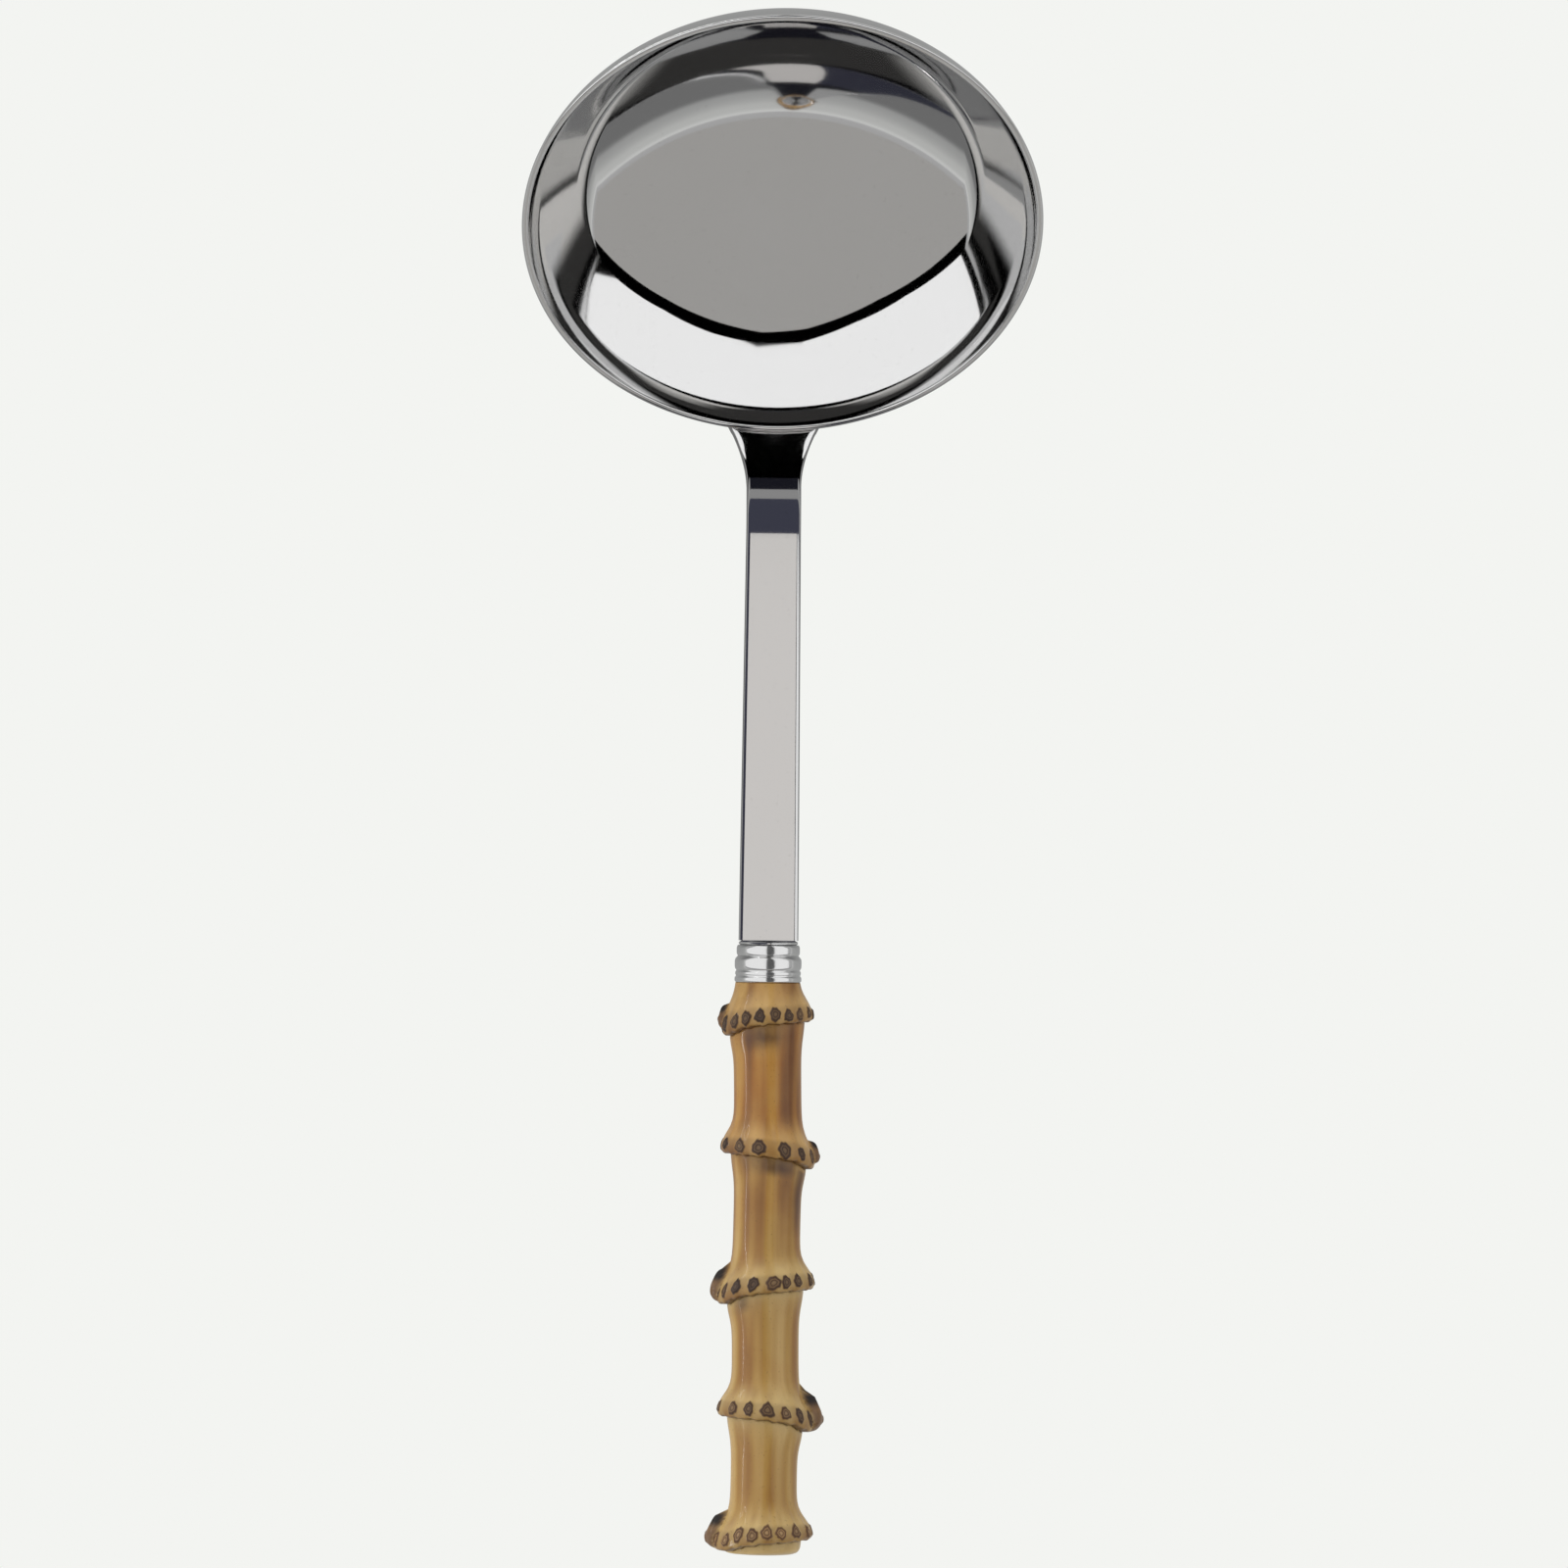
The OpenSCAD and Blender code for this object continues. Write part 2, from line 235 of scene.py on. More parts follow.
def make_streaks():
    """Noise drawn out along the ladle: a coarse value, a fine value and their sum as a height."""
    tree, entry, leave = new_group(
        "drawn_streaks",
        [("Across", "NodeSocketFloat", 500.0), ("Along", "NodeSocketFloat", 20.0)],
        [("Coarse", "NodeSocketFloat"), ("Fine", "NodeSocketFloat"), ("Height", "NodeSocketFloat")],
    )
    where = put(tree, "ShaderNodeTexCoord").outputs["Object"]
    across, along = entry.outputs["Across"], entry.outputs["Along"]
    stretch = put(tree, "ShaderNodeCombineXYZ", {"X": across, "Y": along, "Z": across}).outputs[0]
    drawn = vector_node(tree, "MULTIPLY", where, stretch)[0]
    coarse = noise(tree, drawn, 1.0, 1.2, 0.45)
    fine = noise(tree, drawn, 4.0, 4.0, 0.65)
    height = math_node(tree, "ADD", coarse, fine)
    set_inputs(tree, leave, {"Coarse": coarse, "Fine": fine, "Height": height})
    return tree


def make_handling():
    """Faint marks of use, cloudy patches and tiny specks: values for the roughness and the colour."""
    tree, entry, leave = new_group(
        "handling_marks",
        [("Size", "NodeSocketFloat", 60.0)],
        [("Cloud", "NodeSocketFloat"), ("Speck", "NodeSocketFloat")],
    )
    where = put(tree, "ShaderNodeTexCoord").outputs["Object"]
    cloud = noise(tree, where, entry.outputs["Size"], 3.0)
    grains = noise(tree, where, math_node(tree, "MULTIPLY", entry.outputs["Size"], 22.0), 2.0)
    set_inputs(tree, leave, {"Cloud": cloud, "Speck": remap(tree, grains, 0.66, 0.74)})
    return tree


STREAKS = make_streaks()
HANDLING = make_handling()


def new_material(name):
    """Material with its node tree and its Principled shader."""
    material = bpy.data.materials.new(name)
    material.use_nodes = True
    tree = material.node_tree
    return material, tree, tree.nodes["Principled BSDF"]


def group(tree, shared, **inputs):
    """The outputs of a shared node group that is placed in a material."""
    return put(tree, "ShaderNodeGroup", inputs, node_tree=shared).outputs


def relief(tree, height, strength, depth):
    """Normal of a surface raised by the height, up to a depth in metres."""
    inputs = {"Height": height, "Strength": strength, "Distance": depth}
    return put(tree, "ShaderNodeBump", inputs).outputs[0]


def painted(tree, title):
    """The three values that a piece's own colour attribute holds."""
    colour = put(tree, "ShaderNodeAttribute", attribute_name=title).outputs[0]
    return put(tree, "ShaderNodeSeparateColor", {0: colour}).outputs


def make_steel(name, tone, rough, lines, lift):
    """Polished steel: faint cloudy wear and polish lines along the ladle in roughness and relief."""
    material, tree, shader = new_material(name)
    marks = group(tree, HANDLING, Size=45.0)
    drawn = group(tree, STREAKS, Across=900.0, Along=30.0)
    dim = (tone * 0.97, tone * 0.97, tone * 0.965, 1)
    bright = (tone, tone, tone * 1.005, 1)
    colour = mix(tree, marks["Cloud"], dim, bright)
    colour = mix(tree, math_node(tree, "MULTIPLY", marks["Speck"], 0.12), colour, (0.42, 0.41, 0.4, 1))
    wear = math_node(tree, "MULTIPLY", marks["Cloud"], rough * 0.5)
    scratch = math_node(tree, "MULTIPLY", drawn["Fine"], lines)
    roughness = math_node(tree, "ADD", math_node(tree, "ADD", wear, scratch), rough * 0.6)
    bump = relief(tree, drawn["Fine"], lift, POLISH_DEPTH)
    set_inputs(
        tree,
        shader,
        {"Base Color": colour, "Metallic": 1.0, "Roughness": roughness, "Normal": bump},
    )
    return material


def make_bamboo():
    """Lacquered bamboo root: drawn fibres, paler flares, dark root scars with rings, stains and buds."""
    material, tree, shader = new_material("lacquered_bamboo")
    drawn = group(tree, STREAKS, Across=300.0, Along=14.0)
    marks = group(tree, HANDLING, Size=120.0)
    ring, hue, ledge = painted(tree, "root")
    flare, stain, warm = painted(tree, "tone")
    swell, char, end = painted(tree, "bud")
    pale = ramp(
        tree,
        drawn["Coarse"],
        [(0.34, srgb(144, 100, 44)), (0.50, srgb(168, 130, 66)), (0.66, srgb(186, 152, 92))],
    )
    brown = ramp(
        tree,
        drawn["Coarse"],
        [(0.34, srgb(100, 54, 12)), (0.50, srgb(146, 92, 30)), (0.66, srgb(174, 124, 54))],
    )
    cloudy = math_node(tree, "MULTIPLY", math_node(tree, "SUBTRACT", marks["Cloud"], 0.5), 1.1)
    colour = mix(tree, math_node(tree, "ADD", warm, cloudy, True), pale, brown)
    fibre = remap(tree, drawn["Fine"], 0.36, 0.66)
    colour = mix(tree, 0.08, colour, mix(tree, fibre, (0.34, 0.30, 0.24, 1), (1, 1, 1, 1)), "MULTIPLY")
    light = mix(tree, warm, srgb(210, 184, 126), srgb(204, 156, 88))
    colour = mix(tree, math_node(tree, "MULTIPLY", flare, 0.75), colour, light)
    patchy = math_node(tree, "MULTIPLY", stain, remap(tree, marks["Cloud"], 0.30, 0.62, 0.55, 1.0), True)
    colour = mix(tree, patchy, colour, srgb(62, 38, 30))
    colour = mix(tree, math_node(tree, "MULTIPLY", swell, 0.85), colour, srgb(98, 62, 34))
    skin = ramp(
        tree,
        ring,
        [
            (0.00, srgb(74, 56, 42)),
            (0.10, srgb(88, 68, 50)),
            (0.18, srgb(42, 33, 28)),
            (0.29, srgb(78, 60, 44)),
            (0.37, srgb(36, 28, 25)),
            (0.50, srgb(70, 50, 34)),
        ],
    )
    tan = ramp(
        tree,
        ring,
        [
            (0.00, srgb(206, 172, 124)),
            (0.12, srgb(178, 142, 98)),
            (0.20, srgb(106, 78, 52)),
            (0.28, srgb(176, 138, 92)),
            (0.38, srgb(92, 62, 40)),
            (0.50, srgb(120, 88, 56)),
        ],
    )
    skin = mix(tree, hue, skin, tan)
    inside = remap(tree, ring, 0.58, 0.46)
    colour = mix(tree, inside, colour, skin)
    colour = mix(tree, math_node(tree, "MULTIPLY", ledge, 0.85), colour, srgb(66, 42, 26))
    colour = mix(tree, char, colour, srgb(30, 24, 21))
    colour = mix(tree, end, colour, srgb(186, 164, 128))
    speckle = math_node(tree, "MULTIPLY", marks["Speck"], 0.45)
    colour = mix(tree, speckle, colour, srgb(84, 58, 36))
    dull = math_node(tree, "MAXIMUM", inside, char)
    roughness = math_node(tree, "ADD", math_node(tree, "MULTIPLY", dull, 0.2), 0.42)
    lacquer = math_node(tree, "SUBTRACT", 0.35, math_node(tree, "MULTIPLY", dull, 0.25))
    bump = relief(tree, drawn["Height"], 0.08, FIBRE_DEPTH)
    set_inputs(
        tree,
        shader,
        {
            "Base Color": colour,
            "Roughness": roughness,
            "Specular IOR Level": 0.3,
            "Coat Weight": lacquer,
            "Coat Roughness": 0.05,
            "Normal": bump,
        },
    )
    return material


def make_resin():
    """Set resin: cloudy cream with specks."""
    material, tree, shader = new_material("cutlers_resin")
    marks = group(tree, HANDLING, Size=300.0)
    colour = mix(tree, marks["Cloud"], srgb(214, 190, 144), srgb(230, 214, 176))
    colour = mix(tree, marks["Speck"], colour, srgb(150, 120, 80))
    roughness = math_node(tree, "ADD", math_node(tree, "MULTIPLY", marks["Cloud"], 0.25), 0.35)
    set_inputs(tree, shader, {"Base Color": colour, "Roughness": roughness})
    return material


# Bowl

HALF = SHEET / 2
WALL_RUN = RIM_R - HALF - KNUCKLE_R * (math.sin(KNUCKLE_TURN) - math.sin(FLOOR_TURN))
WALL_RISE = BOWL_DEPTH - KNUCKLE_R * (math.cos(FLOOR_TURN) - math.cos(KNUCKLE_TURN))
FLANK_RUN = math.sin(WALL_TURN) - math.sin(KNUCKLE_TURN)
FLANK_RISE = math.cos(KNUCKLE_TURN) - math.cos(WALL_TURN)
FLOOR_RISE = 1 - math.cos(FLOOR_TURN)
ARC_DET = math.sin(FLOOR_TURN) * FLANK_RISE - FLANK_RUN * FLOOR_RISE
FLOOR_R = (WALL_RUN * FLANK_RISE - FLANK_RUN * WALL_RISE) / ARC_DET
FLANK_R = (math.sin(FLOOR_TURN) * WALL_RISE - FLOOR_RISE * WALL_RUN) / ARC_DET
FLOOR_LOW = -BOWL_DEPTH - HALF
# The dressed wall keeps the CAD flank's two ends and turns up in a narrow band under the rim.
FLANK_TURN, BAND_TURN = math.radians(55), math.radians(76)
BAND_RUN, BAND_RISE = (FLANK_R * v for v in (FLANK_RUN, FLANK_RISE))
LOW_RUN = math.sin(FLANK_TURN) - math.sin(KNUCKLE_TURN)
LOW_RISE = math.cos(KNUCKLE_TURN) - math.cos(FLANK_TURN)
TOP_RUN = math.sin(BAND_TURN) - math.sin(FLANK_TURN)
TOP_RISE = math.cos(FLANK_TURN) - math.cos(BAND_TURN)
BAND_DET = LOW_RUN * TOP_RISE - TOP_RUN * LOW_RISE
SIDE_R = (BAND_RUN * TOP_RISE - TOP_RUN * BAND_RISE) / BAND_DET
BAND_R = (LOW_RUN * BAND_RISE - LOW_RISE * BAND_RUN) / BAND_DET
TILT_COS, TILT_SIN = math.cos(RIM_TILT), math.sin(RIM_TILT)
RIM_UP = np.array([TILT_COS, TILT_SIN])
RIM_OUT = np.array([-TILT_SIN, TILT_COS])
# Arcs of the wall from the middle outward: radius, and the slopes where it begins and ends.
WALL_ARCS = [
    (FLOOR_R, 0.0, FLOOR_TURN),
    (KNUCKLE_R, FLOOR_TURN, KNUCKLE_TURN),
    (SIDE_R, KNUCKLE_TURN, FLANK_TURN),
    (BAND_R, FLANK_TURN, BAND_TURN),
]


def wall_at(slope, off=0.0):
    """Radius and height of the wall where it slopes by that angle, off its middle outward.

    Four arcs in turn: a round floor, a closer bend round it, a flared flank and a band under the rim.
    """
    radius, height = off * np.sin(slope), FLOOR_LOW - off * np.cos(slope)
    for arc_r, low, high in WALL_ARCS:
        turn = np.clip(slope, low, high)
        radius = radius + arc_r * (np.sin(turn) - math.sin(low))
        height = height + arc_r * (math.cos(low) - np.cos(turn))
    return radius, height


NECK_TURN = WALL_TURN - RIM_TILT
NECK_Z = -FERRULE_H - STEM_STRAIGHT
BEND_END = np.array([NECK_R * (math.cos(NECK_TURN) - 1), NECK_Z - NECK_R * math.sin(NECK_TURN)])
RUN_ALONG = np.array([-math.sin(NECK_TURN), -math.cos(NECK_TURN)])
RUN_UP = np.array([math.cos(NECK_TURN), -math.sin(NECK_TURN)])
EDGE = BEND_END + NECK_RUN * RUN_ALONG + STEM_T / 2 * RUN_UP
RIM_AT = EDGE + HALF * RUN_UP - (RIM_R - HALF) * RIM_OUT + HALF * RIM_UP


def in_bowl(x, out, up):
    """Point of the bowl's own frame, out towards the handle and up through the mouth."""
    return np.stack(
        np.broadcast_arrays(
            x,
            RIM_AT[0] + out * RIM_OUT[0] + up * RIM_UP[0],
            RIM_AT[1] + out * RIM_OUT[1] + up * RIM_UP[1],
        ),
        -1,
    )


# Slope at the first ring of points round the bowl's middle.
FIRST_SLOPE = 0.012


def build_bowl(material):
    """Spun bowl: the wall's two faces and the round edge between them, turned about the bowl's axis."""
    slopes = np.concatenate(
        [np.linspace(max(low, FIRST_SLOPE), high, 36)[:-1] for _, low, high in WALL_ARCS] + [[BAND_TURN]]
    )
    turn = np.linspace(0, math.pi, 16)[1:-1]
    lip_r, lip_h = wall_at(BAND_TURN)
    around = BAND_TURN + math.pi / 2 - turn
    inner_r, inner_h = wall_at(slopes, -HALF)
    outer_r, outer_h = wall_at(slopes[::-1], HALF)
    radius = np.concatenate([inner_r, lip_r + HALF * np.cos(around), outer_r])
    height = np.concatenate([inner_h, lip_h + HALF * np.sin(around), outer_h])
    spin = np.linspace(0, TURN, 288, endpoint=False)
    rows = in_bowl(radius[:, None] * np.sin(spin), radius[:, None] * np.cos(spin), height[:, None])
    bottom = [in_bowl(0.0, 0.0, wall_at(0.0, side * HALF)[1]) for side in (-1, 1)]
    piece("bowl_skin", [shell(rows, *bottom)], "bowl", material)


# Stem

# Rounding of the bar's and the tang's edges, length of the tang's point, and the run before the rim
# along which the flat bar begins to wrap round the bowl.
BAR_EDGE, TANG_EDGE, TANG_POINT, WRAP_RUN = 0.75, 0.3, 3.0, 7.0
# Radius of the weld bead, how far its middle stands off the wall, and its gap to the rim.
WELD_R, WELD_OFF, WELD_GAP = 0.5, 0.08, 0.4


def rounded_section(half_w, half_h, corner, flats=30, bends=9):
    """Rounded rectangle for every station: its corner centres plus a circle's direction.

    half_w, half_h and corner are arrays over the stations. Returns x and height, stations by points.
    """
    ease = np.linspace(1, -1, flats + 2)[1:-1]
    short = np.linspace(1, -1, 5)[1:-1]
    arc = np.linspace(0, math.pi / 2, bends)
    one, flat, side = np.ones(bends), np.ones(flats), np.ones(3)
    across = np.concatenate([one, ease, -one, -side, -one, -ease, one, side])
    upward = np.concatenate([one, flat, one, short, -one, -flat, -one, -short])
    angle = np.concatenate(
        [arc, flat * math.pi / 2, arc + math.pi / 2, side * math.pi, arc + math.pi,
         flat * 1.5 * math.pi, arc + 1.5 * math.pi, side * 0]
    )
    x = across * (half_w - corner)[:, None] + corner[:, None] * np.cos(angle)
    y = upward * (half_h - corner)[:, None] + corner[:, None] * np.sin(angle)
    return x, y


def lap_slope(run):
    """Slope of the wall at a length of lap below the rim, along the band and then the flank."""
    band = BAND_R * (BAND_TURN - FLANK_TURN)
    return np.where(run < band, BAND_TURN - run / BAND_R, FLANK_TURN - (run - band) / SIDE_R)


def fishtail_half(z, left):
    """Half the stem's width: a slow taper, then a flare arc, and round corners where little is left."""
    taper = np.clip((z + FERRULE_H) / (NECK_Z + FERRULE_H), 0, 1)
    half = (STEM_W_LOW + (STEM_W_HIGH - STEM_W_LOW) * taper) / 2
    start = EDGE[1] + FISHTAIL_LEN
    sweep = np.clip((start - z) / FISHTAIL_R, 0, 0.98)
    flare = FISHTAIL_R * (1 - np.sqrt(1 - sweep**2))
    half = np.minimum(half + flare, FISHTAIL_W / 2)
    corner = FISHTAIL_W / 3
    back = np.clip(corner - left, 0, corner)
    return half - corner + np.sqrt(corner**2 - back**2)


def stem_line():
    """The bar's middle line with its upward normal, thickness, slope on the wall and length of lap left."""
    straight = np.linspace(-FERRULE_H, NECK_Z, 60)[:-1]
    zero = np.zeros_like(straight)
    bend = np.linspace(0, NECK_TURN, 26)[:-1]
    run = np.linspace(0, NECK_RUN, 16)[:-1]
    lap = LAP_LEN * np.sin(np.linspace(0, math.pi / 2, 40))
    slope = lap_slope(lap)
    thick = STEM_T + (1.2 * FEATHER_T - STEM_T) * step(0, 1, lap / LAP_LEN) ** 0.7
    radius, height = wall_at(slope, HALF + thick / 2)
    y = np.concatenate(
        [zero, NECK_R * (np.cos(bend) - 1), BEND_END[0] + run * RUN_ALONG[0],
         RIM_AT[0] + radius * RIM_OUT[0] + height * RIM_UP[0]]
    )
    z = np.concatenate(
        [straight, NECK_Z - NECK_R * np.sin(bend), BEND_END[1] + run * RUN_ALONG[1],
         RIM_AT[1] + radius * RIM_OUT[1] + height * RIM_UP[1]]
    )
    lean = np.concatenate([zero, bend, np.full(len(run), NECK_TURN), slope - RIM_TILT])
    before = len(zero) + len(bend) + len(run)
    thickness = np.concatenate([np.full(before, STEM_T), thick])
    past = np.concatenate([np.full(before, -1.0), lap])
    return y, z, lean, thickness, past


def build_stem(material):
    """Flat bar swept along its middle line, bent up along the wall and wrapped round it under the rim.

    Points in the lap move towards the bowl's axis by r - sqrt(r^2 - x^2), and the tang is a second bar.
    """
    y, z, lean, thickness, past = stem_line()
    half_w = fishtail_half(z, np.where(past < 0, LAP_LEN, LAP_LEN - past))
    half_h = thickness / 2
    x, lift = rounded_section(half_w, half_h, np.minimum(BAR_EDGE, 0.85 * half_h))
    near = step(-WRAP_RUN, 0, EDGE[1] - z)
    slope = lap_slope(np.maximum(past, 0))
    radius = wall_at(slope, HALF)[0]
    wrap = near[:, None] * (radius[:, None] - np.sqrt(radius[:, None] ** 2 - x**2))
    rows = np.stack(
        [
            x,
            y[:, None] + lift * np.cos(lean)[:, None] - wrap * RIM_OUT[0],
            z[:, None] - lift * np.sin(lean)[:, None] - wrap * RIM_OUT[1],
        ],
        -1,
    )
    bar = shell(rows, rows[0].mean(0), rows[-1].mean(0))
    shoulder = TANG_LEN - TANG_POINT
    blade = np.linspace(-FERRULE_H + 0.1, shoulder, 30)
    point = np.linspace(shoulder + 0.5, TANG_LEN, 6)
    down = np.concatenate([blade, point])
    slim = 1 - 0.55 * step(shoulder, TANG_LEN, down)
    x, lift = rounded_section(TANG_W / 2 * slim, STEM_T / 2 * slim, TANG_EDGE * slim, 6, 5)
    rows = np.stack([x, lift, np.broadcast_to(down[:, None], x.shape)], -1)
    tang = shell(rows, rows[0].mean(0), rows[-1].mean(0))
    piece("stem_bar", [bar, tang], "stem", material)


def build_weld(material):
    """Slim polished bead round the fishtail: a small tube along its outline on the bowl's wall.

    The outline runs down one side, across the end and up the other, and the tube thins out at both ends.
    """
    lap = np.linspace(WELD_GAP, LAP_LEN, 70)
    slope = lap_slope(lap)
    radius, height = wall_at(slope, HALF)
    z = RIM_AT[1] + radius * RIM_OUT[1] + height * RIM_UP[1]
    half = fishtail_half(z, LAP_LEN - lap)
    cross = np.linspace(-1, 1, 24)[1:-1] * half[-1]
    x = np.concatenate([-half, cross, half[::-1]])
    last = np.full(len(cross), slope[-1])
    slope = np.concatenate([slope, last, slope[::-1]])
    radius, height = wall_at(slope, HALF)
    out = np.sqrt(radius**2 - x**2)
    line = in_bowl(x, out, height)
    tip = in_bowl(x / radius * np.sin(slope), out / radius * np.sin(slope), -np.cos(slope))
    normal = tip - in_bowl(0.0, 0.0, 0.0)
    along = np.gradient(line, axis=0)
    along /= np.linalg.norm(along, axis=1, keepdims=True)
    beside = np.cross(along, normal)
    ring = np.linspace(0, TURN, 14, endpoint=False)
    count = np.arange(len(x))
    girth = WELD_R * np.sqrt(np.clip(np.minimum(count, count[::-1]) / 6 + 0.1, 0, 1))
    rows = (line + WELD_OFF * normal)[:, None] + girth[:, None, None] * (
        np.cos(ring)[None, :, None] * normal[:, None] + np.sin(ring)[None, :, None] * beside[:, None]
    )
    piece("weld_bead", [shell(rows, line[0], line[-1])], "weld_fillet", material)


# Ferrule

# Beads from the top down: start and end as shares of the height, offset of the radius, and bulge.
BEADS = [
    (0.02, 0.10, -0.75, 0.35),
    (0.11, 0.36, -0.35, 0.25),
    (0.40, 0.70, 0.0, 0.32),
    (0.73, 0.82, -0.12, 0.12),
    (0.85, 0.985, 0.0, 0.22),
]
# How far the ferrule's top edge and its lower edge stand back from its widest bead.
TOP_BACK, LOWER_BACK = 1.3, 0.35


def build_ferrule(material):
    """Turned ferrule: round beads with fine grooves between them, and the hollow that takes the tenon.

    The profile of a bead is its radius less the bulge times t to the fourth, for t from -1 to 1.
    """
    outer = FERRULE_D / 2
    radius, down = [outer - TOP_BACK], [0.0]
    t = np.linspace(-1, 1, 15)
    for top, low, off, bulge in BEADS:
        radius += (outer + off - bulge * t**4).tolist()
        down += (top + (low - top) * (t + 1) / 2).tolist()
    radius += [outer - LOWER_BACK, CAVITY_R, CAVITY_R]
    down += [1.0, 1.0, FERRULE_TOP / FERRULE_H]
    radius, z = np.array(radius), -FERRULE_H * (1 - np.array(down))
    spin = np.linspace(0, TURN, 160, endpoint=False)
    x, y = radius[:, None] * np.cos(spin), radius[:, None] * np.sin(spin)
    rows = np.stack(np.broadcast_arrays(x, y, z[:, None]), -1)
    poles = np.array([[0, 0, z[0]], [0, 0, z[-1]]])
    piece("ferrule_beads", [shell(rows, *poles)], "ferrule", material, sharp=50)


# Handle

COLUMNS = 240
THETA = np.arange(COLUMNS) * TURN / COLUMNS
# Angle from the middle of the face, to the right.
RIGHT = math.pi / 2 - THETA
# The root's sway to the side, level by level.
SWAY_AT = np.concatenate([[-20.0, 0.0], SCARS, [HANDLE_LEN]])
SWAY_BY = np.concatenate([[0.0], SWAY])
# A joint's flare at its head and at its foot: share of the knot's swelling, distance from the ledge,
# and softness.
HEAD_FLARE, HEAD_AT, HEAD_SOFT = 0.36, 2.8, 1.35
FOOT_FLARE, FOOT_AT, FOOT_SOFT = 1.04, 4.6, 1.3
# Rounding of a knot's lower edge: reach up the knot, and depth.
COLLAR_UP, COLLAR_IN = 1.7, 0.75
# Gap between the two rows of points that meet at a ledge.
LEDGE_GAP = 0.03
# End of the root: least length below the last ledge, step in under it, and rounding of the sawn edge.
TAIL_LEAST, TAIL_STEP, TAIL_EDGE = 0.7, 0.12, 1.1
# Play of the tenon in the ferrule, and depth of the bore beyond the tang.
TENON_PLAY, BORE_PAST = 0.1, 2
# Root scars on the face side of each knot, as degrees from the middle of the face, to the right.
FACE_ROOTS = [
    [-50, -31, -12, 8, 26, 44, 66],
    [-70, -41, -14, 19, 44, 70],
    [-62, -40, -17, 8, 24, 41, 67],
    [-78, -44, -22, 1, 24, 46, 70],
    [-52, -33, -15, 2, 19, 40, 65],
]
# Height of each knot's scars over its ledge, and how light their wood is.
ROOT_UP = [1.75, 1.9, 2.1, 2.05, 2.1]
ROOT_TAN = [0.18, 0.18, 0.18, 0.18, 0.85]
# Scars that are larger than the rest, as knot and place in its row.
BIG_ROOTS = {(1, 2): 1.35, (1, 3): 1.3, (2, 3): 1.35, (3, 3): 1.25}
# Height over the ledge from which a bud's middle is measured.
BUD_UP = 2.2
# How pale each joint's head is, over what length, and the levels between which brown turns to pale.
PALE_HEADS, PALE_RUN = [0.0, 0.2, 0.2, 0.9, 0.9, 0.9], 1.6
BROWN_TO, PALE_FROM = 8, 62
# Narrow grooves below and above a ledge: depth and width.
GROOVE_BELOW, GROOVE_ABOVE = (0.14, 0.22), (0.16, 0.14)
# Stained patches below a knot: knot, degrees to the right, spread in degrees, start and length, depth.
STAINS = [
    (0, -8, 32, 0.3, 4.2, 1.0),
    (1, 8, 40, 0.3, 3.0, 1.0),
    (1, 62, 16, 1.0, 13.0, 0.7),
    (2, -38, 12, 0.3, 2.6, 0.6),
]


def wrapped(angle):
    """Angle brought into -pi to pi."""
    return (angle + math.pi) % TURN - math.pi


def groove(distance, depth, width):
    """Depth of a groove at a distance from its middle, shaped as a bell."""
    return depth * bell(distance, width)


def joint_r(i, level):
    """Radius of a joint: a waist with a flare below the knot above it and a wider one above its own."""
    waist = (NECK_D if i == 0 else WAIST_D) / 2
    radius = np.full_like(level, waist)
    if i > 0:
        head = sigmoid((SCARS[i - 1] + HEAD_AT - level) / HEAD_SOFT)
        radius += HEAD_FLARE * (KNOT_R[i - 1] - waist) * head
    if i < len(SCARS):
        foot = sigmoid((level - SCARS[i] + FOOT_AT) / FOOT_SOFT)
        radius += FOOT_FLARE * (KNOT_R[i] - waist) * foot
    return radius


def joint_shares(length):
    """Places of a joint's rows from 0 to 1: close below its upper ledge, then wide, and close at the knot."""
    head, foot = min(3.2, 0.1 * length) / length, min(6.0, 0.8 * length) / length
    return np.concatenate(
        [
            np.linspace(0, head, 12, endpoint=False),
            np.linspace(head, 1 - foot, 14, endpoint=False),
            np.linspace(1 - foot, 1, 42),
        ]
    )


def ledge_levels(wave):
    """Level of every ledge round the root: a slant that dips deeper under the bud, with fine waves."""
    dip = BUD_SIDE[:, None] * np.cos(THETA)
    slant = 0.7 * dip + 0.3 * np.abs(dip) + 0.9 * bell(dip - 1, 0.25)
    ledge = SCARS[:, None] + KNOT_R[:, None] * SCAR_SLANT * slant
    ledge += 0.10 * np.sin(17 * THETA + wave[:, :1]) + 0.06 * np.sin(31 * THETA + wave[:, 1:2])
    return np.minimum(ledge, HANDLE_LEN - TAIL_LEAST)


def roots_of(i, rng):
    """Places and sizes of a knot's root scars: the face's own and evenly spread ones on the back."""
    face = np.radians(FACE_ROOTS[i])
    gap = np.mean(np.diff(face))
    room = TURN - (face[-1] - face[0])
    back = max(int(round(room / gap)) - 1, 1)
    rest = face[-1] + room * np.arange(1, back + 1) / (back + 1) + rng.normal(0, 0.04, back)
    angle = np.concatenate([face, rest])
    big = np.ones(len(angle))
    for (knot, k), scale in BIG_ROOTS.items():
        if knot == i:
            big[k] = scale
    half_w = np.minimum(rng.uniform(0.92, 1.2, len(angle)) * big, 0.46 * gap * KNOT_R[i])
    half_h = rng.uniform(1.15, 1.45, len(angle)) * np.sqrt(big)
    up = ROOT_UP[i] + rng.normal(0, 0.14, len(angle))
    tan = np.clip(rng.normal(ROOT_TAN[i], 0.16, len(angle)), 0, 1)
    lift = rng.uniform(0.1, 0.5, len(angle))
    return angle, up, half_w, half_h, tan, lift


